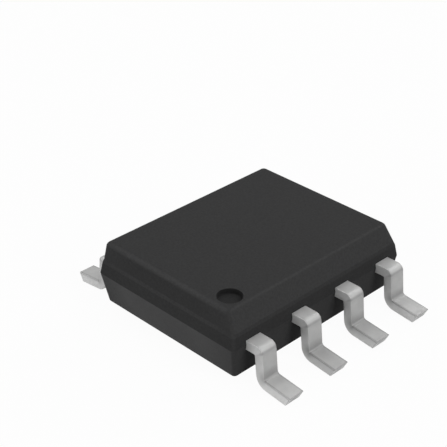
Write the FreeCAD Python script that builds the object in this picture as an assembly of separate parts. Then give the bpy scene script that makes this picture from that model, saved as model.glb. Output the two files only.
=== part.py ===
import FreeCAD, Part
import math
import os

# Small-outline chip with eight gull-wing leads, in millimetres and degrees.
# +X points to the row of leads 1 to 4, +Y runs along that row from lead 1 to lead 4, +Z is up.
# The origin is the centre of the footprint, on the board that the toes stand on.
# Leads 5 to 8, their fingers and their wires are leads 1 to 4 turned half round about Z.

# Moulded body: its widest outline is the parting line, at the middle of the lead frame
BODY_LENGTH = 4.90
BODY_WIDTH = 3.90
STANDOFF = 0.16
LOWER_HALF = 0.695
UPPER_HALF = 0.725
LOWER_DRAFT = 9.1
BAND_HEIGHT = 0.29
BAND_DRAFT = 9.0
LEDGE_WIDTH = 0.012
END_DRAFT = 10.5
BACK_DRAFT = 5.1
BEVEL_ANGLE = 27.2
CORNER_RADIUS = 0.06
TOP_EDGE_RADIUS = 0.055
BOTTOM_EDGE_RADIUS = 0.045

# Dimple that marks lead 1, in line with that lead
DIMPLE_DIAMETER = 0.53
DIMPLE_DEPTH = 0.10
DIMPLE_DRAFT = 12.0
DIMPLE_INSET = 0.64

# Leads outside the body
PITCH = 1.27
LEADS_PER_SIDE = 4
FRAME_THICKNESS = 0.21
LEAD_WIDTH = 0.39
SHOULDER_BEND_RADIUS = 0.03
FOOT_BEND_RADIUS = 0.09
SHOULDER_REACH = 0.40
UPRIGHT_LEAN = 5.7
FOOT_ANGLE = 6.1
TOE_REACH = 1.015
TOE_UNDERCUT = 0.11
EDGE_ROLL = 0.02

# Fingers of the leads inside the body
FINGER_ROOT = 0.28
FINGER_WIDTH = 0.52
TIP_WIDTH = 0.46
TIP_PITCH = 0.92
FINGER_GAP = 0.20
LOCK_HOLE_DIAMETER = 0.20

# Paddle under the die, with a tie bar at each end
PADDLE_LENGTH = 3.30
PADDLE_WIDTH = 1.96
PADDLE_DOWNSET = 0.20
TIE_BAR_WIDTH = 0.32
TIE_BAR_STUB = 0.08
DOWNSET_RUN = 0.20
DOWNSET_BEND_RADIUS = 0.05
TIE_BAR_COVER = 0.12

# Die and the adhesive under it
DIE_LENGTH = 2.30
DIE_WIDTH = 1.50
DIE_THICKNESS = 0.28
ATTACH_THICKNESS = 0.025
ATTACH_MARGIN = 0.05

# Bond wires, from a ball pressed on the die, over a loop, to a stitch on the finger
WIRE_DIAMETER = 0.03
BALL_DIAMETER = 0.09
BALL_HEIGHT = 0.03
PAD_PITCH = 0.55
PAD_INSET = 0.12
LOOP_HEIGHT = 0.15
STITCH_INSET = 0.16
STITCH_LENGTH = 0.09
STITCH_WIDTH = 0.07
STITCH_THICKNESS = 0.012

# Levels and places that several pieces share
FRAME_LEVEL = STANDOFF + LOWER_HALF
FRAME_TOP = FRAME_LEVEL + FRAME_THICKNESS / 2
BODY_TOP = FRAME_LEVEL + UPPER_HALF
PADDLE_LEVEL = FRAME_LEVEL - PADDLE_DOWNSET
ATTACH_BASE = PADDLE_LEVEL + FRAME_THICKNESS / 2
DIE_BASE = ATTACH_BASE + ATTACH_THICKNESS
DIE_TOP = DIE_BASE + DIE_THICKNESS
BODY_SIDE = BODY_WIDTH / 2
BODY_END = BODY_LENGTH / 2
TOE_X = BODY_SIDE + TOE_REACH
FINGER_TIP_X = PADDLE_WIDTH / 2 + FINGER_GAP

X_AXIS = FreeCAD.Vector(1, 0, 0)
Y_AXIS = FreeCAD.Vector(0, 1, 0)
Z_AXIS = FreeCAD.Vector(0, 0, 1)


def vector(x, y, z):
    """Point or direction."""
    return FreeCAD.Vector(x, y, z)


def tangent(degrees):
    """Tangent of an angle in degrees."""
    return math.tan(math.radians(degrees))


def row_place(number, pitch):
    """Y of lead 1 to 4, or of its pad or finger tip, at an even pitch about the middle."""
    return (number - (LEADS_PER_SIDE + 1) / 2) * pitch


def box(x_low, x_high, y_low, y_high, z_low, z_high):
    """Block between two opposite corners."""
    return Part.makeBox(x_high - x_low, y_high - y_low, z_high - z_low, vector(x_low, y_low, z_low))


def unit(start, end):
    """Direction from one point to another."""
    direction = end - start
    return direction.normalize()


def rounded_wire(points, radii):
    """Line along a run of points, each inner corner taken round by an arc of its radius."""
    edges = []
    last = points[0]
    for before, corner, after, radius in zip(points, points[1:], points[2:], radii):
        inward = unit(before, corner)
        outward = unit(corner, after)
        half_turn = inward.getAngle(outward) / 2
        reach = radius * math.tan(half_turn)
        first = corner - inward * reach
        end = corner + outward * reach
        to_centre = (outward - inward).normalize()
        middle = corner + to_centre * (radius / math.cos(half_turn) - radius)
        edges.append(Part.LineSegment(last, first).toShape())
        edges.append(Part.Arc(first, middle, end).toShape())
        last = end
    edges.append(Part.LineSegment(last, points[-1]).toShape())
    return Part.Wire(edges)


def bent_strip(path, inner_radii, width):
    """Stamped strip swept along its bent middle line, which starts level; its upper edges are broken."""
    half_sheet = FRAME_THICKNESS / 2
    spine = rounded_wire(path, [radius + half_sheet for radius in inner_radii])
    across = Z_AXIS.cross(unit(path[0], path[1]))
    profile = (
        (-width / 2, -half_sheet),
        (width / 2, -half_sheet),
        (width / 2, half_sheet - EDGE_ROLL),
        (width / 2 - EDGE_ROLL, half_sheet),
        (EDGE_ROLL - width / 2, half_sheet),
        (-width / 2, half_sheet - EDGE_ROLL),
    )
    corners = [path[0] + across * sideways + Z_AXIS * rise for sideways, rise in profile]
    section = Part.makePolygon(corners + corners[:1])
    return spine.makePipeShell([section], True, False)


def half_turned(shape):
    """Copy turned half round about Z, for the other row."""
    turned = shape.copy()
    turned.rotate(vector(0, 0, 0), Z_AXIS, 180)
    return turned


def body_section(level, front, back, end):
    """Outline of the body at a level, with rounded corners, from how far each side stands in."""
    low = vector(back - BODY_SIDE, end - BODY_END, level)
    high = vector(BODY_SIDE - front, BODY_END - end, level)
    mid_y = (low.y + high.y) / 2
    corners = [
        vector(high.x, mid_y, level),
        high,
        vector(low.x, high.y, level),
        low,
        vector(high.x, low.y, level),
        vector(high.x, mid_y, level),
    ]
    return rounded_wire(corners, [CORNER_RADIUS] * 4)


def body_block():
    """Outer form of the body: drafted lower half, band, ledge and bevelled cap, edges rounded."""
    lower_inset = LOWER_HALF * tangent(LOWER_DRAFT)
    band_inset = BAND_HEIGHT * tangent(BAND_DRAFT)
    cap_inset = band_inset + LEDGE_WIDTH
    cap_height = UPPER_HALF - BAND_HEIGHT
    front = cap_inset + cap_height * tangent(BEVEL_ANGLE)
    back = cap_inset + cap_height * tangent(BACK_DRAFT)
    end = cap_inset + cap_height * tangent(END_DRAFT)
    band_top = FRAME_LEVEL + BAND_HEIGHT
    base = body_section(STANDOFF, lower_inset, lower_inset, lower_inset)
    parting = body_section(FRAME_LEVEL, 0, 0, 0)
    band = body_section(band_top, band_inset, band_inset, band_inset)
    cap_base = body_section(band_top, cap_inset, cap_inset, cap_inset)
    top = body_section(BODY_TOP, front, back, end)
    block = Part.makeLoft([base, parting], True, True)
    for lower, upper in ((parting, band), (cap_base, top)):
        block = block.fuse(Part.makeLoft([lower, upper], True, True))
    block = block.removeSplitter()
    block = block.makeFillet(TOP_EDGE_RADIUS, level_edges(block, BODY_TOP))
    return block.makeFillet(BOTTOM_EDGE_RADIUS, level_edges(block, STANDOFF))


def level_edges(shape, level):
    """Edges of a shape that lie flat at a level."""
    flat = []
    for edge in shape.Edges:
        bounds = edge.BoundBox
        if abs(bounds.ZMin - level) < 1e-6 and abs(bounds.ZMax - level) < 1e-6:
            flat.append(edge)
    return flat


def dimple():
    """Shallow round recess beside lead 1, its wall drafted and its floor flat."""
    radius = DIMPLE_DIAMETER / 2
    floor_radius = radius - DIMPLE_DEPTH * tangent(DIMPLE_DRAFT)
    centre = vector(BODY_SIDE - DIMPLE_INSET, row_place(1, PITCH), BODY_TOP - DIMPLE_DEPTH)
    return Part.makeCone(floor_radius, radius, DIMPLE_DEPTH, centre, Z_AXIS)


def lead_path(y):
    """Middle line of a gull-wing lead, from its finger's root past its toe, on the +X side."""
    half = FRAME_THICKNESS / 2
    lean = math.radians(UPRIGHT_LEAN)
    slope = math.radians(FOOT_ANGLE)
    upper_corner = vector(BODY_SIDE + SHOULDER_REACH, y, FRAME_TOP)
    upper = upper_corner - vector(half * math.tan((math.pi / 2 - lean) / 2), 0, half)
    toe = vector(TOE_X, y, 0) + vector(math.sin(slope), 0, math.cos(slope)) * half
    down = vector(math.sin(lean), 0, -math.cos(lean))
    out = vector(math.cos(slope), 0, -math.sin(slope))
    across = toe - upper
    run = (across.x * out.z - across.z * out.x) / (down.x * out.z - down.z * out.x)
    lower = upper + down * run
    root = vector(BODY_SIDE - FINGER_ROOT, y, FRAME_LEVEL)
    return [root, upper, lower, toe + out * (2 * FRAME_THICKNESS)]


def toe_trim(y):
    """Metal taken off the toe by the trim tool, which leaves the solder edge set back."""
    rise = vector(TOE_UNDERCUT, 0, FRAME_THICKNESS)
    solder_edge = vector(TOE_X, y - LEAD_WIDTH, 0)
    low = solder_edge - rise
    high = solder_edge + rise * 2
    away = X_AXIS * (4 * FRAME_THICKNESS)
    outline = Part.makePolygon([low, high, high + away, low + away, low])
    return Part.Face(outline).extrude(Y_AXIS * (2 * LEAD_WIDTH))


def finger(number, y):
    """Flat finger of a lead inside the body, spread to hold fast; those at the corners are pierced too."""
    root_x = BODY_SIDE - FINGER_ROOT
    tip_y = row_place(number, TIP_PITCH)
    middle_x = (root_x + FINGER_TIP_X) / 2
    middle_y = (y + tip_y) / 2
    spread = ((root_x, y, LEAD_WIDTH), (middle_x, middle_y, FINGER_WIDTH), (FINGER_TIP_X, tip_y, TIP_WIDTH))
    base = FRAME_LEVEL - FRAME_THICKNESS / 2
    near = [vector(x, centre - width / 2, base) for x, centre, width in spread]
    far = [vector(x, centre + width / 2, base) for x, centre, width in spread]
    outline = Part.makePolygon(near + far[::-1] + near[:1])
    plate = Part.Face(outline).extrude(Z_AXIS * FRAME_THICKNESS)
    if number in (1, LEADS_PER_SIDE):
        middle = vector(middle_x, middle_y, base)
        plate = plate.cut(Part.makeCylinder(LOCK_HOLE_DIAMETER / 2, FRAME_THICKNESS, middle))
    return plate


def lead(number):
    """Lead 1 to 4: gull wing and finger in one piece."""
    y = row_place(number, PITCH)
    bends = [SHOULDER_BEND_RADIUS, FOOT_BEND_RADIUS]
    wing = bent_strip(lead_path(y), bends, LEAD_WIDTH).cut(toe_trim(y))
    return wing.fuse(finger(number, y)).removeSplitter()


def die_paddle():
    """Paddle with a tie bar at each end, which climbs back to the level of the leads."""
    half_length = PADDLE_LENGTH / 2
    half_sheet = FRAME_THICKNESS / 2
    low, high = PADDLE_LEVEL - half_sheet, PADDLE_LEVEL + half_sheet
    plate = box(-PADDLE_WIDTH / 2, PADDLE_WIDTH / 2, -half_length, half_length, low, high)
    climb = half_length + TIE_BAR_STUB
    bar = bent_strip(
        [
            vector(0, 0, PADDLE_LEVEL),
            vector(0, climb, PADDLE_LEVEL),
            vector(0, climb + DOWNSET_RUN, FRAME_LEVEL),
            vector(0, BODY_END - TIE_BAR_COVER, FRAME_LEVEL),
        ],
        [DOWNSET_BEND_RADIUS] * 2,
        TIE_BAR_WIDTH,
    )
    return plate.fuse([bar, half_turned(bar)]).removeSplitter()


def die_attach():
    """Adhesive film, its edge drawn up to the die in a slope."""
    x, y = DIE_WIDTH / 2, DIE_LENGTH / 2
    outlines = []
    for level, margin in ((ATTACH_BASE, ATTACH_MARGIN), (DIE_BASE, 0)):
        reach_x, reach_y = x + margin, y + margin
        corners = ((reach_x, reach_y), (-reach_x, reach_y), (-reach_x, -reach_y), (reach_x, -reach_y))
        points = [vector(corner_x, corner_y, level) for corner_x, corner_y in corners]
        outlines.append(Part.makePolygon(points + points[:1]))
    return Part.makeLoft(outlines, True, True)


def silicon_die():
    """Die, a plain sawn block."""
    return box(-DIE_WIDTH / 2, DIE_WIDTH / 2, -DIE_LENGTH / 2, DIE_LENGTH / 2, DIE_BASE, DIE_TOP)


def stitch_bond(landing, along):
    """Wire pressed flat on a finger at the end of its run."""
    plate = Part.makeBox(STITCH_LENGTH, STITCH_WIDTH, STITCH_THICKNESS, vector(0, -STITCH_WIDTH / 2, 0))
    plate.rotate(vector(0, 0, 0), Z_AXIS, math.degrees(math.atan2(along.y, along.x)))
    plate.translate(landing - along * (STITCH_LENGTH / 2))
    return plate


def bond_wire(number):
    """Wire of lead 1 to 4: up from its ball, over a bend and straight down to its stitch."""
    radius = WIRE_DIAMETER / 2
    pad = vector(DIE_WIDTH / 2 - PAD_INSET, row_place(number, PAD_PITCH), DIE_TOP)
    landing = vector(FINGER_TIP_X + STITCH_INSET, row_place(number, TIP_PITCH), FRAME_TOP)
    along = vector(landing.x - pad.x, landing.y - pad.y, 0).normalize()
    start = pad + Z_AXIS * BALL_HEIGHT
    loop_top = pad + Z_AXIS * LOOP_HEIGHT
    run_out = landing + unit(loop_top, landing) * WIRE_DIAMETER
    spine = Part.makePolygon([start, loop_top, run_out])
    section = Part.Wire(Part.makeCircle(radius, start, Z_AXIS))
    wire = spine.makePipeShell([section], True, False, 1)
    in_finger = box(DIE_WIDTH / 2, BODY_SIDE, -BODY_END, BODY_END, STANDOFF, FRAME_TOP)
    ball = Part.makeCylinder(BALL_DIAMETER / 2, BALL_HEIGHT, pad)
    return wire.cut(in_finger).fuse([ball, stitch_bond(landing, along)]).removeSplitter()


def moulded_body(embedded):
    """Body moulded round everything that it holds, with the dimple in its top."""
    return body_block().cut([dimple()] + embedded)


def build():
    """Every piece by its node name."""
    pieces = {}
    for number in range(1, LEADS_PER_SIDE + 1):
        pieces[f"lead_{number}"] = lead(number)
        pieces[f"bond_wire_{number}"] = bond_wire(number)
    for number in range(1, LEADS_PER_SIDE + 1):
        for name in ("lead", "bond_wire"):
            pieces[f"{name}_{number + LEADS_PER_SIDE}"] = half_turned(pieces[f"{name}_{number}"])
    pieces["die_paddle"] = die_paddle()
    pieces["die_attach"] = die_attach()
    pieces["silicon_die"] = silicon_die()
    pieces["moulded_body"] = moulded_body(list(pieces.values()))
    return pieces


def only_solid(shape):
    """The one solid of a shape that an operation returned as a compound."""
    if len(shape.Solids) != 1:
        raise ValueError(f"{len(shape.Solids)} solids where one was meant")
    return shape.Solids[0]


os.makedirs("parts", exist_ok=True)
for node, shape in build().items():
    solid = only_solid(shape)
    solid.exportStep(f"parts/{node}.step")
    print(f"{node}: {solid.Volume:.4f} mm3, valid {solid.isValid()}")
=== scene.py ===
"""Catalogue picture of a small-outline chip with eight gull-wing leads.

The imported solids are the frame. The moulded body and the leads are made anew as numpy surfaces
with finer edges than the solids carry; the pieces sealed inside keep their solids and get finishes.
Sizes are in millimetres until a mesh, a lamp or the camera is made.
"""

from __future__ import annotations

import logging
import math
from dataclasses import dataclass
from enum import Enum

import bpy
import numpy as np
from mathutils import Matrix, Vector

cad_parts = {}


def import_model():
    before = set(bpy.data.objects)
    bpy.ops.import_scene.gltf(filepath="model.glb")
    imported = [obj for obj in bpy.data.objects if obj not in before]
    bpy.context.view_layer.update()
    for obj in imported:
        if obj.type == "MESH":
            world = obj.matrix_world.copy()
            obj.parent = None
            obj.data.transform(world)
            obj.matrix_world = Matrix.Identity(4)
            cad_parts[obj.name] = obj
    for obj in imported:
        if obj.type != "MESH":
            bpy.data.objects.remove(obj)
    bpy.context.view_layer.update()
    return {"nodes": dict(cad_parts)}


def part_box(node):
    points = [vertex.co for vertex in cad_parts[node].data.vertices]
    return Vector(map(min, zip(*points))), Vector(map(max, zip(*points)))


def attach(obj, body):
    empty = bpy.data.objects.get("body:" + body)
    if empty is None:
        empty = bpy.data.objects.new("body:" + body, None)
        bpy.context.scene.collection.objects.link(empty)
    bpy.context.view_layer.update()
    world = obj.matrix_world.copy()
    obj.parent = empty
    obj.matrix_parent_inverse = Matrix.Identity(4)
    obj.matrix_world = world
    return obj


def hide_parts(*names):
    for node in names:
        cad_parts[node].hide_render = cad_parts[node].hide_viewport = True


MM = 0.001
BODY = "root"
LEADS_PER_SIDE = 4
LEAD_PITCH = 1.27
LEAD_FRAME_TOP = 0.96
LOG = logging.getLogger("chip")

Array = np.ndarray
Socket = bpy.types.NodeSocket
Number = float | Socket
Value = float | tuple[float, ...] | Socket
Colour = tuple[float, float, float]


class Slot(Enum):
    """Names of two material slots: the moulding compound and the tin plate."""

    COMPOUND = "mould_compound"
    TIN = "tin_plate"


# Arithmetic


def blend(first: Array | float, second: Array | float, share: Array | float) -> Array:
    """Value a share of the way from first to second: first + share times their difference."""
    return first + (second - first) * share


def held(places: Array, *knots: tuple[float, float]) -> Array:
    """Amount at each place: straight lines between (place, amount) knots, held outside them."""
    return np.interp(places, *zip(*knots))


def run_lengths(points: Array) -> Array:
    """Length of a line from its first point to each point: the running sum of its steps."""
    steps = np.linalg.norm(np.diff(points, axis=0), axis=1)
    return np.concatenate([[0.0], np.cumsum(steps)])


def toward(azimuth: float, elevation: float) -> Array:
    """Unit vector that leads from the chip to a lamp or a camera.

    It is (sin a cos e, -cos a cos e, sin e), where a is the azimuth and e the elevation.

    Args:
        azimuth: Degrees round Z from the near end, which faces -Y, towards +X.
        elevation: Degrees above the floor.

    Returns:
        The vector.
    """
    a, e = math.radians(azimuth), math.radians(elevation)
    return np.array([math.sin(a) * math.cos(e), -math.cos(a) * math.cos(e), math.sin(e)])


# Meshes and objects


def in_scene(name: str, data: bpy.types.ID) -> bpy.types.Object:
    """Makes an object of a mesh, a lamp or a camera and links it to the scene.

    Args:
        name: Name of the object.
        data: The mesh, lamp or camera.

    Returns:
        The object.
    """
    made = bpy.data.objects.new(name, data)
    bpy.context.scene.collection.objects.link(made)
    return made


def mesh_object(name: str, points: list, faces: list) -> bpy.types.Object:
    """Makes a mesh and its object.

    Args:
        name: Name of both.
        points: Points in metres.
        faces: Indices of each face's points.

    Returns:
        The object, linked to the scene.
    """
    mesh = bpy.data.meshes.new(name)
    mesh.from_pydata(points, [], faces)
    mesh.update()
    return in_scene(name, mesh)


def mesh_of_rings(name: str, rings: Array, poles: tuple[Array, Array]) -> bpy.types.Object:
    """Makes a closed mesh of rings, one after another, with a pole at each end.

    Vertex (i, j) is point j of ring i. A quad joins (i, j), (i, j+1), (i+1, j+1) and (i+1, j),
    where j+1 wraps round, and a fan of triangles joins each end ring to its pole. The faces are
    turned round if the enclosed volume, a sixth of the sum of their corners' triple products, is
    negative.

    Args:
        name: Name of the object and its mesh.
        rings: Points as (ring, place on the ring, xyz), in millimetres.
        poles: The point that closes the first ring and the one that closes the last.

    Returns:
        The object, linked to the scene, with its place in its mesh.
    """
    rows, columns = rings.shape[:2]
    points = np.vstack([rings.reshape(-1, 3), poles[0], poles[1]])
    index = np.arange(rows * columns).reshape(rows, columns)
    onward = np.roll(index, -1, axis=1)
    quads = np.stack([index[:-1], onward[:-1], onward[1:], index[1:]], axis=-1).reshape(-1, 4)
    first_fan = np.stack([onward[0], index[0], np.full(columns, rows * columns)], axis=-1)
    last_fan = np.stack([index[-1], onward[-1], np.full(columns, rows * columns + 1)], axis=-1)
    fans = np.vstack([first_fan, last_fan])
    triangles = np.vstack([quads[:, [0, 1, 2]], quads[:, [0, 2, 3]], fans])
    a, b, c = (points[triangles[:, k]] for k in range(3))
    if np.einsum("ij,ij->", a, np.cross(b, c)) < 0:
        quads, fans = quads[:, ::-1], fans[:, ::-1]
    return mesh_object(name, (points * MM).tolist(), quads.tolist() + fans.tolist())


def shade_smooth(piece: bpy.types.Object, crease: float) -> None:
    """Shades a mesh smooth, apart from its creases.

    Args:
        piece: The mesh's object.
        crease: Angle in degrees; an edge that turns more than this stays sharp.
    """
    mesh = piece.data
    mesh.polygons.foreach_set("use_smooth", np.ones(len(mesh.polygons), bool))
    mesh.set_sharp_from_angle(angle=math.radians(crease))
    mesh.update()


def lay_uv(piece: bpy.types.Object, along: Array, around: Array) -> None:
    """Writes a UV map whose first axis runs along the rings' path and the second around it.

    Each vertex has (along of its ring, around of its place), in millimetres, and every face corner
    takes its vertex's pair. The two poles take the pair of the ring they close, at place 0.

    Args:
        piece: A mesh made by mesh_of_rings.
        along: Distance of each ring along the path.
        around: Distance of each place around the ring.
    """
    grid = np.stack(np.meshgrid(along, around, indexing="ij"), axis=-1).reshape(-1, 2)
    pairs = np.vstack([grid, [along[0], around[0]], [along[-1], around[0]]])
    corners = np.empty(len(piece.data.loops), np.int32)
    piece.data.loops.foreach_get("vertex_index", corners)
    layer = piece.data.uv_layers.new(name="lay")
    layer.data.foreach_set("uv", pairs[corners].astype(np.float32).ravel())


def lay_value(
    piece: bpy.types.Object, name: str, values: Array, poles: tuple[float, float]
) -> None:
    """Writes one number per vertex as an attribute that a finish can read.

    Args:
        piece: A mesh made by mesh_of_rings.
        name: Name of the attribute.
        values: Numbers as (ring, place on the ring).
        poles: Numbers of the first pole and the last.
    """
    layer = piece.data.attributes.new(name, "FLOAT", "POINT")
    layer.data.foreach_set("value", np.concatenate([values.ravel(), poles]).astype(np.float32))


# Finishes

NOISE_SPAN = (0.3, 0.7)


def seen_directly(tree: bpy.types.NodeTree) -> Socket:
    """1 for a ray from the camera or off gloss or through glass, 0 for one that only lights.

    Args:
        tree: Node tree of the material or world that asks.

    Returns:
        Socket of the sum of the three ray kinds, at most 1.
    """
    path = tree.nodes.new("ShaderNodeLightPath")
    total = path.outputs["Is Camera Ray"]
    for kind in ("Is Glossy Ray", "Is Transmission Ray"):
        adder = tree.nodes.new("ShaderNodeMath")
        adder.use_clamp = True
        tree.links.new(total, adder.inputs[0])
        tree.links.new(path.outputs[kind], adder.inputs[1])
        total = adder.outputs[0]
    return total


class Paint:
    """A new node material with its Principled shader at hand."""

    def __init__(self, name: str) -> None:
        """Starts the material; the finish fills its shader's inputs.

        Args:
            name: Name of the material.
        """
        self.material = bpy.data.materials.new(name)
        self.material.use_nodes = True
        self.tree = self.material.node_tree
        self.shader = self.tree.nodes["Principled BSDF"]

    def node(self, kind: str, **inputs: Value) -> bpy.types.Node:
        """Adds a node and fills its inputs.

        Args:
            kind: The node's type name.
            inputs: Socket names, with underscores for spaces, and the value or socket for each.

        Returns:
            The node.
        """
        made = self.tree.nodes.new(kind)
        for name, value in inputs.items():
            self.put(made.inputs[name.replace("_", " ")], value)
        return made

    def put(self, socket: Socket, value: Value) -> None:
        """Sets a socket to a value, or links another socket to it.

        Args:
            socket: The input.
            value: The value or the output that feeds it.
        """
        if isinstance(value, Socket):
            self.tree.links.new(value, socket)
        else:
            socket.default_value = value

    def dress(self, **inputs: Value) -> bpy.types.Material:
        """Fills inputs of the Principled shader.

        Args:
            inputs: Socket names, with underscores for spaces, and the value or socket for each.

        Returns:
            The finished material.
        """
        for name, value in inputs.items():
            self.put(self.shader.inputs[name.replace("_", " ")], value)
        return self.material

    def place(
        self, stretch: tuple[float, float, float] = (1.0, 1.0, 1.0), source: str = "Object"
    ) -> Socket:
        """Coordinates of a pattern, in millimetres times stretch.

        Args:
            stretch: Factor on each axis; a small one draws the pattern out along that axis.
            source: Output of the coordinate node: Object, in metres, or UV, in millimetres already.

        Returns:
            The vector socket.
        """
        origin = self.tree.nodes.new("ShaderNodeTexCoord")
        unit = 1.0 if source == "UV" else 1.0 / MM
        scale = tuple(unit * part for part in stretch)
        mapping = self.node("ShaderNodeMapping", Vector=origin.outputs[source], Scale=scale)
        return mapping.outputs["Vector"]

    def noise(self, place: Socket, scale: float, detail: float = 2.0) -> Socket:
        """Noise of a scale in cycles per millimetre, from 0 to 1 about 0.5."""
        made = self.node("ShaderNodeTexNoise", Vector=place, Scale=scale, Detail=detail)
        return made.outputs["Fac"]

    def spread(
        self, value: Socket, span: tuple[float, float], result: tuple[float, float]
    ) -> Socket:
        """Carries a value evenly from one span to another and holds it at the ends.

        Args:
            value: The value to carry.
            span: Its two ends.
            result: What they become.

        Returns:
            The carried value.
        """
        ends = {"From_Min": span[0], "From_Max": span[1], "To_Min": result[0], "To_Max": result[1]}
        return self.node("ShaderNodeMapRange", Value=value, **ends).outputs["Result"]

    def between(self, value: Socket, low: float, high: float) -> Socket:
        """Noise from 0.3 to 0.7 spread over low to high."""
        return self.spread(value, NOISE_SPAN, (low, high))

    def shade(self, attribute: str, full: float) -> Socket:
        """Factor from 1, where the piece's attribute is 0, to full, where it is 1."""
        return self.spread(self.attribute(attribute), (0.0, 1.0), (1.0, full))

    def math(self, operation: str, first: Number, second: Number) -> Socket:
        """Joins two numbers by the math node.

        Args:
            operation: Name of the node's operation.
            first: The first number.
            second: The second number.

        Returns:
            The result.
        """
        made = self.tree.nodes.new("ShaderNodeMath")
        made.operation = operation
        self.put(made.inputs[0], first)
        self.put(made.inputs[1], second)
        return made.outputs[0]

    def product(self, first: Number, second: Number) -> Socket:
        """The two numbers multiplied."""
        return self.math("MULTIPLY", first, second)

    def scaled(self, colour: Socket, factor: Socket) -> Socket:
        """Multiplies each part of a colour by a factor.

        Args:
            colour: The colour.
            factor: The factor.

        Returns:
            The new colour.
        """
        times = self.tree.nodes.new("ShaderNodeVectorMath")
        times.operation = "SCALE"
        self.put(times.inputs["Vector"], colour)
        self.put(times.inputs["Scale"], factor)
        return times.outputs["Vector"]

    def tone(self, value: Socket, low: Colour, high: Colour) -> Socket:
        """Lays a colour between low and high by a noise from 0.3 to 0.7.

        Args:
            value: The noise.
            low: Colour at its low end.
            high: Colour at its high end.

        Returns:
            The colour.
        """
        ramp = self.node("ShaderNodeValToRGB", Fac=value)
        stops = ramp.color_ramp.elements
        stops[0].position, stops[1].position = NOISE_SPAN
        stops[0].color, stops[1].color = (*low, 1.0), (*high, 1.0)
        return ramp.outputs["Color"]

    def mixed(self, share: Socket, first: Socket, second: Socket) -> Socket:
        """Colour a share of the way from the first to the second."""
        mix = self.node("ShaderNodeMixRGB", Fac=share, Color1=first, Color2=second)
        return mix.outputs["Color"]

    def attribute(self, name: str) -> Socket:
        """Reads the piece's own attribute.

        Args:
            name: Name that lay_value gave it.

        Returns:
            Its value.
        """
        made = self.tree.nodes.new("ShaderNodeAttribute")
        made.attribute_name = name
        return made.outputs["Fac"]

    def relief(self, height: Socket, depth: float, under: Socket | None = None) -> Socket:
        """Bends the normal by a relief.

        Args:
            height: Height from 0 to 1.
            depth: Millimetres that a height of 1 stands for.
            under: Normal of another relief that lies below this one.

        Returns:
            The bent normal.
        """
        bump = self.node("ShaderNodeBump", Height=height, Distance=depth * MM)
        if under is not None:
            self.put(bump.inputs["Normal"], under)
        return bump.outputs["Normal"]


@dataclass(frozen=True)
class MouldedEpoxy:
    """Dark moulding compound: dull above the parting line, glossier below it on the end faces."""

    parting_level: float
    dark: Colour = (0.0277, 0.0277, 0.0280)
    light: Colour = (0.0335, 0.0335, 0.0338)
    roughness: tuple[float, float] = (0.50, 0.56)
    upper_gloss: float = 0.020
    lower_gloss: float = 0.092
    lower_gloss_at_leads: float = 0.0
    # Factors of the painted shade and the painted light that the body's marks lay on the colour.
    painted_shade_factor: float = 0.50
    painted_light_factor: float = 1.40
    blend_height: float = 0.01
    clouds_per_mm: float = 1.3
    specks_per_mm: float = 22.0
    grains_per_mm: float = 38.0
    grain_depth: float = 0.0012

    def material(self) -> bpy.types.Material:
        """Mottled colour and fine grain, with painted shade where the piece is marked dark and
        painted light where it is marked light.

        The colour is the specks' tone times the painted shade and the painted light. The gloss is
        the upper one, and below the parting line a second one is added, which goes from the ends'
        to the lead sides'.

        Returns:
            The material.
        """
        paint = Paint("moulded_epoxy")
        place = paint.place()
        cloud = paint.noise(place, self.clouds_per_mm, detail=3.0)
        speck = paint.noise(place, self.specks_per_mm, detail=4.0)
        grain = paint.noise(place, self.grains_per_mm, detail=3.0)
        level = paint.node("ShaderNodeSeparateXYZ", Vector=place).outputs["Z"]
        parting = (self.parting_level - self.blend_height, self.parting_level + self.blend_height)
        below = paint.spread(level, parting, (1.0, 0.0))
        glosses = (self.lower_gloss, self.lower_gloss_at_leads)
        lower = paint.spread(paint.attribute("lead_side"), (0.0, 1.0), glosses)
        # Painted shade (dimple, lead sides' band) and painted light (edge ridges, ledge, bevel,
        # corners) multiply the specks' tone.
        shade = paint.product(
            paint.shade("dark", self.painted_shade_factor), paint.shade("painted_light", self.painted_light_factor)
        )
        return paint.dress(
            Base_Color=paint.scaled(paint.tone(speck, self.dark, self.light), shade),
            Roughness=paint.between(cloud, *self.roughness),
            Specular_IOR_Level=paint.math("ADD", self.upper_gloss, paint.product(below, lower)),
            Normal=paint.relief(grain, self.grain_depth),
        )


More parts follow.
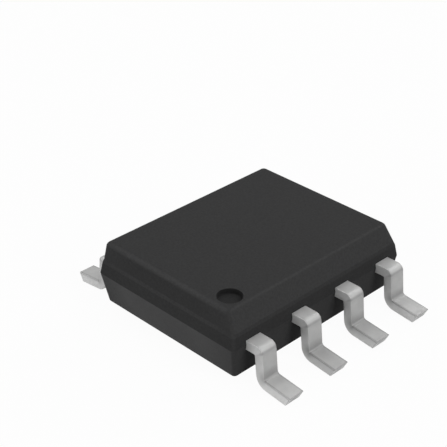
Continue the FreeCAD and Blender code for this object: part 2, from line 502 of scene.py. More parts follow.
@dataclass(frozen=True)
class TinPlate:
    """Matt tin over stamped copper: painted light on the side faces, rougher tin with painted shade
    in the bends, and painted shade along the foot's edges and on the middle leads' feet.
    """

    dark: Colour = (0.355, 0.355, 0.352)
    light: Colour = (0.405, 0.405, 0.402)
    # Paler tone of the side faces: painted light.
    painted_side_low: Colour = (0.555, 0.555, 0.552)
    painted_side_high: Colour = (0.625, 0.625, 0.622)
    roughness: tuple[float, float] = (0.40, 0.47)
    dull_roughness: float = 0.65
    metal: float = 0.33
    # Factors of the painted shade along the edges, in the bends and on the middle leads' feet.
    edge_shade_factor: float = 0.60
    bend_shade_factor: float = 0.72
    neighbour_shade_factor: float = 0.81
    clouds_per_mm: float = 4.0
    grains_per_mm: float = 45.0
    grain_depth: float = 0.0012
    line_stretch: tuple[float, float, float] = (0.7, 16.0, 1.0)
    line_depth: float = 0.0010

    def material(self) -> bpy.types.Material:
        """Clouded colour, plated grain and drawn lines along the lead.

        The colour goes from the faces' tone to the side faces' paler tone, which is painted light,
        and
        is multiplied by three painted shades: along the edges, in the bends and on the middle
        leads' feet. The roughness goes from the grain's to the dull one where the bends are marked.

        Returns:
            The material.
        """
        paint = Paint("tin_plate")
        place = paint.place()
        cloud = paint.noise(place, self.clouds_per_mm, detail=4.0)
        grain = paint.noise(place, self.grains_per_mm, detail=3.0)
        lines = paint.noise(paint.place(self.line_stretch, source="UV"), 1.0, detail=3.0)
        # Paler side faces: painted light.
        colour = paint.mixed(
            paint.attribute("painted_side_light"),
            paint.tone(cloud, self.dark, self.light),
            paint.tone(cloud, self.painted_side_low, self.painted_side_high),
        )
        # Painted shade along the edges, in the bends and on the middle leads' feet.
        shade = paint.product(
            paint.shade("painted_edge_shade", self.edge_shade_factor), paint.shade("bend_shade_and_dull", self.bend_shade_factor)
        )
        shade = paint.product(shade, paint.shade("painted_neighbour_shade", self.neighbour_shade_factor))
        rough = paint.node(
            "ShaderNodeMix",
            Factor=paint.attribute("bend_shade_and_dull"),
            A=paint.between(grain, *self.roughness),
            B=self.dull_roughness,
        )
        drawn = paint.relief(lines, self.line_depth)
        return paint.dress(
            Base_Color=paint.scaled(colour, shade),
            Roughness=rough.outputs["Result"],
            Normal=paint.relief(grain, self.grain_depth, drawn),
            Metallic=self.metal,
        )


@dataclass(frozen=True)
class RolledMetal:
    """Bare metal with faint rolling lines, for the paddle and the wires."""

    name: str
    dark: Colour
    light: Colour
    lines_per_mm: float
    roughness: tuple[float, float] = (0.28, 0.40)
    line_stretch: tuple[float, float, float] = (1.0, 0.06, 1.0)
    line_depth: float = 0.001

    def material(self) -> bpy.types.Material:
        """Varies colour and roughness along lines drawn out along Y.

        Returns:
            The material.
        """
        paint = Paint(self.name)
        lines = paint.noise(paint.place(self.line_stretch), self.lines_per_mm, detail=3.0)
        return paint.dress(
            Base_Color=paint.tone(lines, self.dark, self.light),
            Roughness=paint.between(lines, *self.roughness),
            Normal=paint.relief(lines, self.line_depth),
            Metallic=1.0,
        )


@dataclass(frozen=True)
class SilverEpoxy:
    """Grey adhesive with metal flakes in it."""

    dark: Colour = (0.36, 0.36, 0.35)
    light: Colour = (0.56, 0.56, 0.55)
    roughness: tuple[float, float] = (0.65, 0.45)
    flakes_per_mm: float = 60.0
    flake_depth: float = 0.002

    def material(self) -> bpy.types.Material:
        """Shows flakes as light, smoother specks in a dull ground.

        Returns:
            The material.
        """
        paint = Paint("silver_epoxy")
        flakes = paint.noise(paint.place(), self.flakes_per_mm, detail=4.0)
        return paint.dress(
            Base_Color=paint.tone(flakes, self.dark, self.light),
            Roughness=paint.between(flakes, *self.roughness),
            Normal=paint.relief(flakes, self.flake_depth),
        )


@dataclass(frozen=True)
class PolishedSilicon:
    """Die surface: blocks of circuit that differ slightly in tone."""

    dark: Colour = (0.07, 0.08, 0.11)
    light: Colour = (0.17, 0.18, 0.22)
    roughness: tuple[float, float] = (0.12, 0.20)
    blocks_per_mm: float = 5.0
    specks_per_mm: float = 30.0

    def material(self) -> bpy.types.Material:
        """Gives square cells a random tone and varies the roughness by fine specks.

        Returns:
            The material.
        """
        paint = Paint("polished_silicon")
        place = paint.place()
        cells = paint.node("ShaderNodeTexVoronoi", Vector=place, Scale=self.blocks_per_mm)
        cells.distance = "CHEBYCHEV"
        parts = paint.node("ShaderNodeSeparateColor", Color=cells.outputs["Color"])
        specks = paint.noise(place, self.specks_per_mm)
        return paint.dress(
            Base_Color=paint.tone(parts.outputs["Red"], self.dark, self.light),
            Roughness=paint.between(specks, *self.roughness),
        )


@dataclass(frozen=True)
class PaleSweep:
    """White studio floor: seen at nearly full white, with the chip's shadow kept faint on it."""

    colour: Colour = (0.61, 0.61, 0.61)
    darkest: float = 0.985
    shown_white: float = 0.96
    clouds_per_mm: float = 0.05

    def material(self) -> bpy.types.Material:
        """A matt floor; what the camera, gloss and glass see is partly an even white of strength 1.

        Returns:
            The material.
        """
        paint = Paint("pale_sweep")
        cloud = paint.noise(paint.place(), self.clouds_per_mm)
        low = tuple(self.darkest * part for part in self.colour)
        paint.dress(
            Base_Color=paint.tone(cloud, low, self.colour), Roughness=1.0, Specular_IOR_Level=0.0
        )
        white = paint.node("ShaderNodeEmission", Color=(1.0, 1.0, 1.0, 1.0), Strength=1.0)
        share = paint.spread(seen_directly(paint.tree), (0.0, 1.0), (0.0, self.shown_white))
        mix = paint.node("ShaderNodeMixShader", Fac=share)
        paint.put(mix.inputs[1], paint.shader.outputs["BSDF"])
        paint.put(mix.inputs[2], white.outputs["Emission"])
        paint.put(paint.tree.nodes["Material Output"].inputs["Surface"], mix.outputs["Shader"])
        return paint.material


# Lines


def straight(start: Array, end: Array, steps: int) -> Array:
    """Points on a straight line between two points, without either of them.

    Point k lies at a share of (1 - cos(k pi / (steps + 1))) / 2, so the points crowd to the ends.

    Args:
        start: Where the line starts.
        end: Where it ends.
        steps: Number of points.

    Returns:
        Points as (steps, 2).
    """
    share = (1 - np.cos(np.linspace(0, math.pi, steps + 2)[1:-1])) / 2
    return blend(start, end, share[:, None])


def corner_arc(before: Array, corner: Array, after: Array, radius: float, steps: int) -> Array:
    """Arc that rounds a corner between two straight runs and touches both.

    The arc starts radius times the tangent of half the turn before the corner. Its points are the
    start turned about the centre by equal angles up to the whole turn.

    Args:
        before: A point on the run that comes in.
        corner: Where the two runs would meet.
        after: A point on the run that goes out.
        radius: Radius of the arc.
        steps: Number of points, with both ends.

    Returns:
        Points of the arc as (steps, 2).
    """
    inward = (corner - before) / np.linalg.norm(corner - before)
    outward = (after - corner) / np.linalg.norm(after - corner)
    cross = float(inward[0] * outward[1] - inward[1] * outward[0])
    turn = math.atan2(cross, float(inward @ outward))
    start = corner - inward * radius * math.tan(abs(turn) / 2)
    normal = np.array([-inward[1], inward[0]]) * math.copysign(1.0, turn)
    centre = start + normal * radius
    spoke = start - centre
    angles = np.linspace(0, turn, steps)
    cos, sin = np.cos(angles), np.sin(angles)
    turned = [spoke[0] * cos - spoke[1] * sin, spoke[0] * sin + spoke[1] * cos]
    return centre + np.stack(turned, axis=-1)


# The chip


@dataclass(frozen=True)
class Frame:
    """Main sizes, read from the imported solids, in millimetres."""

    side: float
    end: float
    bottom: float
    top: float
    lead_width: float

    @classmethod
    def read(cls) -> Frame:
        """Reads the boxes of the body and of the last lead of the front row.

        Returns:
            Half width, half length and levels of the body, and the width of a lead.
        """
        low, high = (np.array(corner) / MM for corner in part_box("moulded_body"))
        lead_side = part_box("lead_4")[1][1] / MM
        last_place = (LEADS_PER_SIDE - 1) / 2 * LEAD_PITCH
        return cls(
            side=float(high[0]),
            end=float(high[1]),
            bottom=float(low[2]),
            top=float(high[2]),
            lead_width=2 * float(lead_side - last_place),
        )


@dataclass(frozen=True)
class MouldedBody:
    """The moulded body as one closed surface: rings round it from the underside to the dimple.

    A ring is a rounded rectangle whose four sides each stand in by their own amount, so that the
    bevelled side and the plain ones meet in the same rounded corner.
    """

    frame: Frame
    parting_level: float = 0.867
    band_height: float = 0.253
    front_draft: float = 0.100
    back_draft: float = 0.090
    end_draft: float = 0.136
    band_inset: float = 0.040
    ledge: float = 0.026
    ledge_height: float = 0.07
    front_inset: float = 0.284
    back_inset: float = 0.100
    end_inset: float = 0.141
    corner_radius: float = 0.075
    front_radius: float = 0.09
    near_radius: float = 0.115
    top_radius: float = 0.07
    bottom_radius: float = 0.03
    ledge_radius: float = 0.05
    dimple_place: tuple[float, float] = (1.31, -1.905)
    dimple_radius: float = 0.256
    dimple_depth: float = 0.10
    dimple_draft: float = 12.0
    dimple_rim: float = 0.010
    dimple_foot: float = 0.02
    hidden_run: float = 0.3
    crease: float = 15.0
    edge_margin: float = 0.02
    corner_steps: int = 10
    side_steps: int = 110
    underside_steps: int = 3
    bottom_steps: int = 9
    draft_steps: int = 7
    band_steps: int = 5
    ledge_steps: int = 4
    cap_steps: int = 7
    edge_steps: int = 12
    top_shares: tuple[float, ...] = (0.12, 0.3, 0.5, 0.7, 0.85, 0.95, 0.99)
    dimple_steps: tuple[int, int, int, int] = (5, 3, 6, 4)
    # Amounts of painted shade: a little at the parting line, more in the lead sides' band, and less
    # on the dimple's floor than on its wall.
    parting_dark: float = 0.1
    band_dark: float = 0.28
    floor_dark: float = 0.6
    # Amounts of painted light: along the ledge of the ends, on the lead sides' caps and on the
    # corners at the band.
    ledge_pale: float = 0.5
    bevel_pale: float = 0.45
    corner_pale: float = 0.4
    # Shares of the top edge's painted highlight lost at the corners and over the leads.
    ridge_lost_at_corner: float = 0.7
    ridge_lost_at_leads: float = 0.35
    fade_steps: int = 22

    @property
    def parting_ring(self) -> int:
        """Ring on the parting line."""
        return self.underside_steps + self.bottom_steps + self.draft_steps

    @property
    def ledge_ring(self) -> int:
        """Ring on which the ledge's foot arc starts."""
        return self.parting_ring + 1 + self.band_steps

    @property
    def edge_ring(self) -> int:
        """Ring on which the top edge's arc starts."""
        return self.ledge_ring + 2 * self.ledge_steps + self.cap_steps

    def side_profile(self, draft: float, top_inset: float, top_radius: float) -> Array:
        """Profile of one side from the underside to the flat top, as (inset, level) rows.

        Straight runs join the underside, the parting line, the band, the slanted ledge and the
        cap. The edges at the underside, the ledge and the top are arcs that touch both neighbours.

        Args:
            draft: How far the side stands in at the underside.
            top_inset: How far the side stands in where it would meet the top without its arc.
            top_radius: Radius of that arc.

        Returns:
            Rows of inset from the parting line and level, the same number for every side.
        """
        bottom, top = self.frame.bottom, self.frame.top
        band_top = self.parting_level + self.band_height
        underside = np.array([draft + self.hidden_run, bottom])
        base = np.array([draft, bottom])
        parting = np.array([0.0, self.parting_level])
        ledge_foot = np.array([self.band_inset, band_top])
        ledge_head = np.array([self.band_inset + self.ledge, band_top + self.ledge_height])
        cap_top = np.array([top_inset, top])
        deck = np.array([top_inset + self.hidden_run, top])
        ledge_arc = (self.ledge_radius, self.ledge_steps)
        bottom_arc = corner_arc(underside, base, parting, self.bottom_radius, self.bottom_steps)
        foot_arc = corner_arc(parting, ledge_foot, ledge_head, *ledge_arc)
        head_arc = corner_arc(ledge_foot, ledge_head, cap_top, *ledge_arc)
        top_arc = corner_arc(ledge_head, cap_top, deck, top_radius, self.edge_steps)
        runs = [
            straight(underside, bottom_arc[0], self.underside_steps),
            bottom_arc,
            straight(bottom_arc[-1], parting, self.draft_steps),
            parting[None],
            straight(parting, foot_arc[0], self.band_steps),
            foot_arc,
            head_arc,
            straight(head_arc[-1], top_arc[0], self.cap_steps),
            top_arc,
            (top_arc[-1] + [self.edge_margin, 0.0])[None],
        ]
        return np.vstack(runs)

    def rings(self) -> Array:
        """Rings of the sides, from the underside to the edge of the flat top.

        For each ring, the four corner centres stand in from the sides by their insets and the
        corner radius. A corner's points lie on its quarter circle, and a side's points lie evenly
        between two quarter circles. The level of a corner's point is blended from the levels of
        its two sides by the share of the quarter turn.

        Returns:
            Points as (ring, place, xyz).
        """
        front = self.side_profile(self.front_draft, self.front_inset, self.front_radius)
        far = self.side_profile(self.end_draft, self.end_inset, self.top_radius)
        back = self.side_profile(self.back_draft, self.back_inset, self.top_radius)
        near = self.side_profile(self.end_draft, self.end_inset, self.near_radius)
        radius, side, end = self.corner_radius, self.frame.side, self.frame.end
        high_x, low_x = side - front[:, 0] - radius, back[:, 0] - side + radius
        high_y, low_y = end - far[:, 0] - radius, near[:, 0] - end + radius
        levels = np.stack([front[:, 1], far[:, 1], back[:, 1], near[:, 1]], axis=1)
        centre_x = np.stack([high_x, low_x, low_x, high_x], axis=1)
        centre_y = np.stack([high_y, high_y, low_y, low_y], axis=1)
        share = np.linspace(0, 1, self.corner_steps)
        angle = (np.arange(4)[:, None] + share) * math.pi / 2
        next_levels = np.roll(levels, -1, axis=1)
        arc = np.stack(
            [
                centre_x[:, :, None] + radius * np.cos(angle),
                centre_y[:, :, None] + radius * np.sin(angle),
                blend(levels[:, :, None], next_levels[:, :, None], share),
            ],
            axis=-1,
        )
        along = np.linspace(0, 1, self.side_steps + 2)[1:-1, None]
        run = blend(arc[:, :, -1:, :], np.roll(arc, -1, axis=1)[:, :, :1, :], along)
        return np.concatenate([arc, run], axis=2).reshape(len(front), -1, 3)

    def dimple_profile(self) -> Array:
        """Profile of the dimple: the rim's arc, the drafted wall, the foot's arc and the floor.

        Returns:
            Rows of distance from the dimple's axis and level.
        """
        rim_steps, wall_steps, foot_steps, floor_steps = self.dimple_steps
        top, floor = self.frame.top, self.frame.top - self.dimple_depth
        narrow = self.dimple_depth * math.tan(math.radians(self.dimple_draft))
        outside = np.array([self.dimple_radius + self.hidden_run, top])
        rim = np.array([self.dimple_radius, top])
        foot = np.array([self.dimple_radius - narrow, floor])
        middle = np.array([0.0, floor])
        rim_arc = corner_arc(outside, rim, foot, self.dimple_rim, rim_steps)
        foot_arc = corner_arc(rim, foot, middle, self.dimple_foot, foot_steps)
        wall = straight(rim_arc[-1], foot_arc[0], wall_steps)
        return np.vstack([rim_arc, wall, foot_arc, straight(foot_arc[-1], middle, floor_steps)])

    def top_rings(self, edge: Array) -> Array:
        """Rings over the flat top and down into the dimple.

        Each point of the edge ring looks at the dimple's middle. The flat rings lie a share of the
        way along that line, up to the rim, and the dimple's rings lie at their radius on it.

        Args:
            edge: The last ring of the sides.

        Returns:
            Points as (ring, place, xyz).
        """
        middle = np.array([*self.dimple_place, self.frame.top])
        reach = edge - middle
        reach[:, 2] = 0
        spoke = reach / np.linalg.norm(reach, axis=1, keepdims=True)
        profile = self.dimple_profile()
        rim = middle + spoke * profile[0, 0]
        flat = blend(edge, rim, np.array(self.top_shares)[:, None, None])
        reach_out, level = profile[:, 0, None, None], profile[:, 1, None, None]
        hollow = middle * [1, 1, 0] + spoke * reach_out + level * [0, 0, 1]
        return np.concatenate([flat, hollow])

    def shares_round(self) -> tuple[Array, Array]:
        """How far each place on a ring belongs to a lead side, and how far to a corner.

        The first is 1 on the two sides that leads leave, and falls evenly to a half round their
        corners and from there to 0 along the first fade_steps places of an end. The second is 0 on
        the sides, and the sine of the share of the turn times pi on a corner.

        Returns:
            The two shares, from 0 to 1, for each place.
        """
        turn = np.linspace(1, 0, self.corner_steps)
        place = np.arange(self.side_steps)
        nearest = np.minimum(place, place[::-1])
        end_run = held(nearest, (0, 0.5), (self.fade_steps, 0))
        lead_run = np.ones(self.side_steps)
        half = [blend(0.5, 1, turn), end_run, blend(0.5, 1, turn[::-1]), lead_run]
        corner = [np.sin(math.pi * turn), 0 * lead_run]
        return np.concatenate(half * 2), np.concatenate(corner * 4)

    def marks(self, count: int) -> dict[str, Array]:
        """Where the compound differs, as numbers from 0 to 1 for each ring and place on it.

        Dark is painted shade: 1 on the dimple's wall, less on its floor, and a little in the band
        under the ledge of the lead sides. The painted light is a painted highlight that rises and
        falls over the top edge's arc as half a sine wave, less at the corners and over the leads;
        it also lies along the ledge of the ends, on the corners at the band, and on the lead sides'
        caps, where it dies out over the top edge.
        Lead side is the first of shares_round. The knots are rings, named for the arcs they lie on.

        Args:
            count: Number of rings of the whole surface.

        Returns:
            The three attributes by name.
        """
        lead_side, corner = self.shares_round()
        ring = np.arange(count)[:, None]
        parting, foot, edge = self.parting_ring, self.ledge_ring, self.edge_ring
        head = foot + self.ledge_steps
        foot_end, head_end = head - 1, head + self.ledge_steps - 1
        edge_end = edge + self.edge_steps - 1
        band, ledge_light, corner_light_amount = self.band_dark, self.ledge_pale, self.corner_pale
        # Painted shade in the lead sides' band under the ledge.
        band_shade = [(parting - 1, 0), (parting, self.parting_dark)]
        band_shade += [(parting + 1, band), (foot, band), (foot_end, 0)]
        # Painted highlight line along the ledge of the ends.
        on_ledge = [(foot, 0), (foot_end - 1, ledge_light), (head + 1, ledge_light), (head_end, 0)]
        # Painted light on the corners at the band.
        at_corner = [(parting - 1, 0), (parting + 1, corner_light_amount)]
        at_corner += [(foot_end, corner_light_amount), (head + 1, 0)]
        # Painted light on the lead sides' caps.
        cap = [(head, 0), (head_end, self.bevel_pale), (edge, self.bevel_pale), (edge_end, 0)]
        # Painted highlight over the top edge's arc, less at the corners and over the leads.
        turn = np.clip((ring - edge) / (edge_end - edge), 0, 1)
        kept = (1 - self.ridge_lost_at_corner * corner) * (1 - self.ridge_lost_at_leads * lead_side)
        dimple_wall = count - len(self.dimple_profile()) + 2
        dimple_floor = count - self.dimple_steps[-1] - 2
        dark = held(ring, *band_shade) * lead_side
        # Painted shade in the dimple: full on its wall, less on its floor.
        dark[dimple_wall:] = 1.0
        dark[dimple_floor:] = self.floor_dark
        painted_light = held(ring, *on_ledge) * (1 - lead_side)
        painted_light += held(ring, *at_corner) * corner + held(ring, *cap) * lead_side
        painted_light = np.maximum(painted_light, np.sin(math.pi * turn) * kept)
        return {"dark": dark, "painted_light": painted_light, "lead_side": np.tile(lead_side, (count, 1))}

    def build(self) -> bpy.types.Object:
        """Makes the surface, shades and paints it, and lets it stand for the solid.

        Returns:
            The body.
        """
        sides = self.rings()
        rings = np.concatenate([sides, self.top_rings(sides[-1])])
        underside = np.array([0.0, 0.0, self.frame.bottom])
        floor = np.array([*self.dimple_place, self.frame.top - self.dimple_depth])
        body = mesh_of_rings("moulded_body_skin", rings, (underside, floor))
        for name, values in self.marks(len(rings)).items():
            lay_value(body, name, values, (values[0, 0], values[-1, 0]))
        shade_smooth(body, self.crease)
        body.data.materials.append(MouldedEpoxy(self.parting_level).material())
        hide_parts("moulded_body")
        return body


@dataclass(frozen=True)
class GullWingLead:
    """A lead from its finger's tip inside the body to its toe, swept as one surface.

    Two lines lead the sweep: the sheet's upper face and its lower one. Each bends with its own
    radii, so that the outer corner of the shoulder is as tight as the forming tool leaves it.
    """

    frame: Frame
    number: int
    thickness: float = 0.21
    finger_root: float = 1.67
    finger_tip: float = 1.18
    finger_width: float = 0.52
    tip_width: float = 0.46
    tip_pitch: float = 0.92
    shoulder_reach: float = 0.40
    lean: float = 5.7
    foot_slope: float = 6.1
    toe_reach: float = 1.015
    undercut: float = 0.105
    shoulder_radii: tuple[float, float] = (0.15, 0.03)
    foot_radii: tuple[float, float] = (0.07, 0.28)
    edge_radius: float = 0.014
    edge_margin: float = 0.03
    crease: float = 30.0
    corner_steps: int = 6
    arc_steps: int = 14
    run_steps: int = 5
    toe_shares: tuple[float, float] = (0.96, 1.0)
    # Where the side faces' painted light starts across the lead, and how fast it comes in.
    side_face: float = 0.94
    side_fade: float = 0.05
    # Painted shade all over the toe and along the shoulder's upper edges.
    toe_shade: float = 0.6
    shoulder_edge_shade: float = 0.35
    # Share of the side faces' painted light kept on the lower upright and round the foot's bend,
    # and the rings where it falls and rises again.
    side_light_dimmed: float = 0.55
    side_light_rings: tuple[int, int, int, int] = (-14, -8, 3, 11)
    # Painted shade on the feet of the middle leads, as a share kept at the toe.
    neighbour_shade_at_toe: float = 0.7
    # Amounts of painted shade and rougher tin: one for each ring of the shoulder's bend and of the
    # upright, the two ends of the foot's bend, and the foot's first rings.
    shoulder_bend_shade: tuple[float, ...] = (
        (0.0, 0.1, 0.3, 0.4, 0.4, 0.35, 0.3) + (0.3, 0.3, 0.7, 1.0, 1.0, 0.7, 0.4)
    )
    upright_bend_shade: tuple[float, ...] = (0.12, 0.12, 0.12, 0.12, 0.6)
    foot_bend_shade: tuple[float, float] = (2.4, 0.35)
    sole_bend_shade: tuple[float, float, float] = (0.3, 0.2, 0.1)

    @property
    def in_row(self) -> int:
        """Place of this lead in its row, counted from 1."""
        return (self.number - 1) % LEADS_PER_SIDE + 1

    def place(self, pitch: float) -> float:
        """Y of this lead, or of its finger's tip, at an even pitch about the middle."""
        return (self.in_row - (LEADS_PER_SIDE + 1) / 2) * pitch

    def face_line(self, depth: float, shoulder_radius: float, foot_radius: float) -> Array:
        """Line of one face of the sheet, from the finger's tip to the toe, as (x, z) rows.

        The upper face's three straight lines are the level shoulder, the leaning upright and the
        sloped foot. A line at a depth below it is parallel to each of them, and its corners are
        where neighbouring parallels meet. Each corner is rounded by its arc.

        Args:
            depth: Distance below the upper face: 0, or the thickness.
            shoulder_radius: Radius of the bend at the shoulder.
            foot_radius: Radius of the bend at the foot.

        Returns:
            Points of the line; every line has the same number of them.
        """
        lean, slope = math.radians(self.lean), math.radians(self.foot_slope)
        down = np.array([math.sin(lean), -math.cos(lean)])
        out = np.array([math.cos(slope), -math.sin(slope)])
        into_upright = np.array([-math.cos(lean), -math.sin(lean)])
        into_foot = np.array([-math.sin(slope), -math.cos(slope)])
        outer_corner = np.array([self.frame.side + self.shoulder_reach, LEAD_FRAME_TOP])
        toe = np.array([self.frame.side + self.toe_reach, 0.0])
        level = LEAD_FRAME_TOP - depth
        upright = outer_corner + into_upright * depth
        shoulder = upright + down * ((level - upright[1]) / down[1])
        foot_line = toe - into_foot * (self.thickness - depth)
        gap = foot_line - shoulder
        run = (gap[0] * out[1] - gap[1] * out[0]) / (down[0] * out[1] - down[1] * out[0])
        heel = shoulder + down * run
        rise = (self.thickness - depth) / self.thickness
        end = foot_line + out * (self.undercut * rise - math.sin(slope) * (self.thickness - depth))
        tip, root = np.array([self.finger_tip, level]), np.array([self.finger_root, level])
        middle = (tip + root) / 2
        first = corner_arc(root, shoulder, heel, shoulder_radius, self.arc_steps)
        second = corner_arc(shoulder, heel, end, foot_radius, self.arc_steps)
        share = np.linspace(0, 1, self.run_steps + 2)[1:-1, None]
        foot_share = np.vstack([share, np.array(self.toe_shares)[:, None]])
        finger = [tip, middle, root, blend(root, first[0], share)]
        upright = blend(first[-1], second[0], share)
        return np.vstack([*finger, first, upright, second, blend(second[-1], end, foot_share)])

    def section(self) -> Array:
        """Cross-section as (height, across) pairs: a rectangle with quarter circles for corners.

        Height runs from 0 at the lower face to the thickness, and across from minus to plus half
        the width. A corner's points are its centre, one radius inside both sides, plus the radius
        times the cosine (height) and the sine (across) of an angle that turns right round. One
        more point stands on each neighbouring face, a margin away from the quarter circle.

        Returns:
            Eight points for each of the four corners.
        """
        high = self.thickness - self.edge_radius
        wide = self.frame.lead_width / 2 - self.edge_radius
        low = self.edge_radius
        centres = np.array([[high, wide], [low, wide], [low, -wide], [high, -wide]])[:, None]
        angle = (np.arange(4)[:, None] + np.linspace(0, 1, self.corner_steps)) * math.pi / 2
        spokes = np.stack([np.cos(angle), np.sin(angle)], axis=-1)
        arcs = centres + self.edge_radius * spokes
        before = arcs[:, :1] - self.edge_margin * spokes[:, -1:]
        after = arcs[:, -1:] - self.edge_margin * spokes[:, :1]
        return np.concatenate([before, arcs, after], axis=1).reshape(-1, 2)

    def wear(self, section: Array, count: int) -> dict[str, Array]:
        """Where the tin differs, as numbers from 0 to 1 for each ring and place on it.

        The side faces get painted light: 1 on them, and less round the foot's bend. The bends get
        painted shade and rougher tin on the upper face: a little where the shoulder's bend starts,
        most near its end and where the foot's bend starts, falling along the foot's bend. Painted
        shade also lies along the foot's two upper edges, less along the shoulder's, and all over
        the toe; and on top of the feet that have a neighbour on both sides, falling towards the
        toe. The rings of the side faces' painted light are counted from the start of the foot's
        bend.

        Args:
            section: The cross-section's points.
            count: Number of rings along the lead.

        Returns:
            The four attributes by name.
        """
        arc = self.arc_steps
        foot_start = count - self.run_steps - len(self.toe_shares) - arc
        shoulder_start = foot_start - self.run_steps - arc
        half_way = foot_start + arc // 2
        across = np.abs(section[:, 1]) / (self.frame.lead_width / 2)
        upper = (section[:, 0] > self.thickness / 2).astype(float)
        edges = np.tile([0.0, *[1.0] * self.corner_steps, 0.0], 4) * upper
        # Painted shade and rougher tin in the bends.
        bend_shade_along = np.zeros(count)
        bend_shade_along[shoulder_start:foot_start] = self.shoulder_bend_shade + self.upright_bend_shade
        bend_shade_along[foot_start:][:arc] = np.clip(np.linspace(*self.foot_bend_shade, arc), 0, 1)
        bend_shade_along[foot_start + arc :][: len(self.sole_bend_shade)] = self.sole_bend_shade
        # Painted light on the side faces, less round the foot's bend.
        side_light_knots = zip(self.side_light_rings, (1, self.side_light_dimmed, self.side_light_dimmed, 1))
        side_light_along = held(np.arange(count) - foot_start, *side_light_knots)
        # Painted shade on the feet of the leads with a neighbour on each side.
        inner = 1 < self.in_row < LEADS_PER_SIDE
        neighbour_shade_along = np.zeros(count)
        neighbour_shade_along[half_way:] = np.linspace(1, self.neighbour_shade_at_toe, count - half_way) * inner
        # Painted shade along the upper edges and over the toe.
        painted_edge_shade = np.zeros((count, len(section)))
        painted_edge_shade[half_way:] = edges
        painted_edge_shade[shoulder_start : shoulder_start + arc - 1] = self.shoulder_edge_shade * edges
        painted_edge_shade[-1] = np.maximum(painted_edge_shade[-1], self.toe_shade)
        painted_side_light = np.clip((across - self.side_face) / self.side_fade, 0, 1)
        return {
            "painted_side_light": painted_side_light * side_light_along[:, None],
            "bend_shade_and_dull": bend_shade_along[:, None] * upper,
            "painted_edge_shade": painted_edge_shade,
            "painted_neighbour_shade": neighbour_shade_along[:, None] * upper,
        }

    def build(self, material: bpy.types.Material) -> bpy.types.Object:
        """Sweeps the section between the two face lines and lets the lead stand for its solid.

        A point of the section at height h and place b across lies h thicknesses of the way from
        the lower line to the upper one, at Y = the lead's Y + b. Inside the body the width grows
        and the middle moves to the finger tip's Y. Leads 5 to 8 are turned half round about Z.

        Args:
            material: The tin plate that all leads share.

        Returns:
            The lead.
        """
        upper = self.face_line(0.0, self.shoulder_radii[0], self.foot_radii[0])
        lower = self.face_line(self.thickness, self.shoulder_radii[1], self.foot_radii[1])
        section = self.section()
        height = section[:, 0] / self.thickness
        flat = blend(lower[:, None, :], upper[:, None, :], height[None, :, None])
        rows = len(upper)
        y, tip_y = self.place(LEAD_PITCH), self.place(self.tip_pitch)
        middle = np.full(rows, y)
        middle[:2] = tip_y, (y + tip_y) / 2
        width = np.full(rows, self.frame.lead_width)
        width[:2] = self.tip_width, self.finger_width
        across = middle[:, None] + section[None, :, 1] * (width / self.frame.lead_width)[:, None]
        rings = np.stack([flat[..., 0], across, flat[..., 1]], axis=-1)
        ends = np.stack([rings[0].mean(axis=0), rings[-1].mean(axis=0)])
        if self.number > LEADS_PER_SIDE:
            rings, ends = rings * [-1, -1, 1], ends * [-1, -1, 1]
        lead = mesh_of_rings(f"lead_{self.number}_tinned", rings, (ends[0], ends[1]))
        lay_uv(lead, run_lengths(upper) + self.number, run_lengths(section))
        for name, values in self.wear(section, rows).items():
            lay_value(lead, name, values, (0.0, values[-1].min()))
        shade_smooth(lead, self.crease)
        lead.data.materials.append(material)
        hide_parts(f"lead_{self.number}")
        return lead


@dataclass(frozen=True)
class SealedPieces:
    """What the body holds: the solids of the paddle, adhesive, die and wires, with finishes."""

    nodes: dict[str, bpy.types.Object]

    def dress(self) -> list[bpy.types.Object]:
        """Paints each sealed solid where it is.

        Returns:
            The painted nodes.
        """
        copper = RolledMetal(
            "rolled_copper", dark=(0.70, 0.36, 0.23), light=(0.84, 0.47, 0.32), lines_per_mm=12.0
        )
        gold = RolledMetal(
            "drawn_gold", dark=(0.80, 0.55, 0.18), light=(0.95, 0.70, 0.28), lines_per_mm=30.0
        ).material()
        finishes = {
            "die_paddle": copper.material(),
            "die_attach": SilverEpoxy().material(),
            "silicon_die": PolishedSilicon().material(),
        }
        wires = range(1, 2 * LEADS_PER_SIDE + 1)
        finishes.update({f"bond_wire_{number}": gold for number in wires})
        for name, material in finishes.items():
            mesh = self.nodes[name].data
            mesh.materials.clear()
            mesh.materials.append(material)
        return [self.nodes[name] for name in finishes]


# Studio


@dataclass(frozen=True)
class Softbox:
    """A square lamp that faces the chip, with its distance and width in metres."""

    name: str
    azimuth: float
    elevation: float
    width: float
    brightness: float
    distance: float = 0.40

    def build(self) -> bpy.types.Object:
        """Makes the lamp: its power is brightness times width squared times pi.

        Returns:
            The lamp's object.
        """
        lamp = bpy.data.lights.new(self.name, "AREA")
        lamp.shape = "SQUARE"
        lamp.size = self.width
        lamp.energy = self.brightness * self.width**2 * math.pi
        made = in_scene(self.name, lamp)
        outward = Vector(toward(self.azimuth, self.elevation))
        made.location = outward * self.distance
        made.rotation_euler = outward.to_track_quat("Z", "Y").to_euler()
        return made


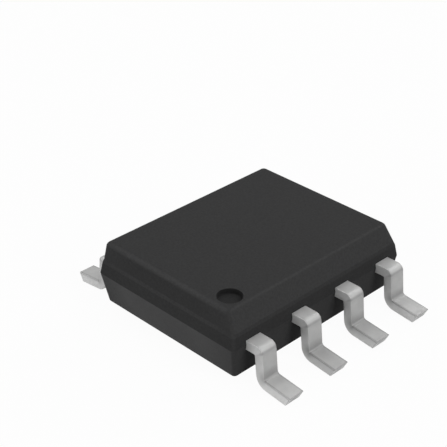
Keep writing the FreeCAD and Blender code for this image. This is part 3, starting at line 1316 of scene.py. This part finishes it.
@dataclass(frozen=True)
class Studio:
    """White sweep, softboxes and the room's own light; the floor's half width is in metres."""

    room: float = 0.05
    floor_half: float = 1.5

    def softboxes(self) -> tuple[Softbox, ...]:
        """Lists the lamps, named for where they stand as the camera sees the chip.

        Returns:
            The lamps, not yet made.
        """
        return (
            Softbox("top_softbox", 60.0, 76.0, 0.22, 1.30),
            Softbox("near_right_softbox", 95.0, 35.0, 0.20, 7.79),
            Softbox("far_left_softbox", 270.0, 55.0, 0.18, 4.58),
            Softbox("left_strip", 312.0, 18.0, 0.16, 5.04),
            Softbox("near_left_strip", 0.0, 20.0, 0.18, 1.23),
            Softbox("near_left_low_strip", 0.0, 6.0, 0.16, 5.26),
            Softbox("far_right_strip", 180.0, 26.0, 0.18, 4.52),
            Softbox("far_right_softbox", 172.0, 54.0, 0.16, 3.54),
        )

    def world(self) -> None:
        """Room light for matt surfaces; the camera, gloss and glass see an even white."""
        world = bpy.data.worlds.new("room")
        world.use_nodes = True
        tree = world.node_tree
        background = tree.nodes["Background"]
        seen = tree.nodes.new("ShaderNodeMapRange")
        seen.inputs["To Min"].default_value = self.room
        seen.inputs["To Max"].default_value = 1.0
        tree.links.new(seen_directly(tree), seen.inputs["Value"])
        tree.links.new(seen.outputs["Result"], background.inputs["Strength"])
        background.inputs["Color"].default_value = (1.0, 1.0, 1.0, 1.0)
        bpy.context.scene.world = world

    def floor(self) -> bpy.types.Object:
        """Flat floor under the toes, part of the stage.

        Returns:
            The floor.
        """
        half = self.floor_half
        corners = [(-half, -half, 0.0), (half, -half, 0.0), (half, half, 0.0), (-half, half, 0.0)]
        made = mesh_object("sweep", corners, [(0, 1, 2, 3)])
        made.data.materials.append(PaleSweep().material())
        return made

    def build(self) -> None:
        """Sets up the room, the floor and the lamps."""
        self.world()
        self.floor()
        for softbox in self.softboxes():
            softbox.build()


@dataclass(frozen=True)
class CatalogueCamera:
    """Camera fitted to the photograph: it looks down at the corner beside lead 1."""

    azimuth: float = 45.4406
    elevation: float = 30.5261
    roll: float = -0.0994
    focal_pixels: float = 1224.9019
    picture_pixels: float = 447.0
    sensor_mm: float = 36.0
    clip: tuple[float, float] = (0.001, 10.0)
    origin_in_view: tuple[float, float, float] = (0.5577, 1.5720, 25.8627)

    def axes(self) -> Array:
        """Directions of the view: each is turned by azimuth and elevation, then rolled.

        Returns:
            Right, down and forward as rows.
        """
        a, r = math.radians(self.azimuth), math.radians(self.roll)
        back = toward(self.azimuth, self.elevation)
        right = np.array([math.cos(a), math.sin(a), 0.0])
        up = np.cross(back, right)
        turn = np.array([[math.cos(r), -math.sin(r), 0], [math.sin(r), math.cos(r), 0], [0, 0, 1]])
        return turn @ np.stack([right, -up, -back])

    def build(self) -> bpy.types.Object:
        """Makes the camera; it stands where the chip's origin has its given place in the view.

        Returns:
            The camera, which is the scene's own.
        """
        axes = self.axes()
        place = -axes.T @ np.array(self.origin_in_view) * MM
        camera = bpy.data.cameras.new("catalogue_camera")
        camera.sensor_width = self.sensor_mm
        camera.lens = self.focal_pixels / self.picture_pixels * self.sensor_mm
        camera.clip_start, camera.clip_end = self.clip
        made = in_scene("catalogue_camera", camera)
        turn = np.eye(4)
        turn[:3, :3] = np.stack([axes[0], -axes[1], -axes[2]], axis=1)
        turn[:3, 3] = place
        made.matrix_world = Matrix(turn.tolist())
        bpy.context.scene.camera = made
        return made


def main() -> None:
    """Builds the chip, piece by piece, then the studio and the camera."""
    logging.basicConfig(level=logging.INFO, format="%(name)s: %(message)s")
    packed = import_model()
    frame = Frame.read()
    body = MouldedBody(frame).build()
    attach(body, BODY)
    LOG.info("%s: %d faces", body.name, len(body.data.polygons))
    tin = TinPlate().material()
    for number in range(1, 2 * LEADS_PER_SIDE + 1):
        lead = GullWingLead(frame, number).build(tin)
        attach(lead, BODY)
        LOG.info("%s: %d faces", lead.name, len(lead.data.polygons))
    for node in SealedPieces(packed["nodes"]).dress():
        LOG.info("%s: painted as packed", node.name)
    Studio().build()
    CatalogueCamera().build()
    bpy.context.scene.view_settings.view_transform = "Standard"
    bpy.context.view_layer.update()


if __name__ == "__main__":
    main()
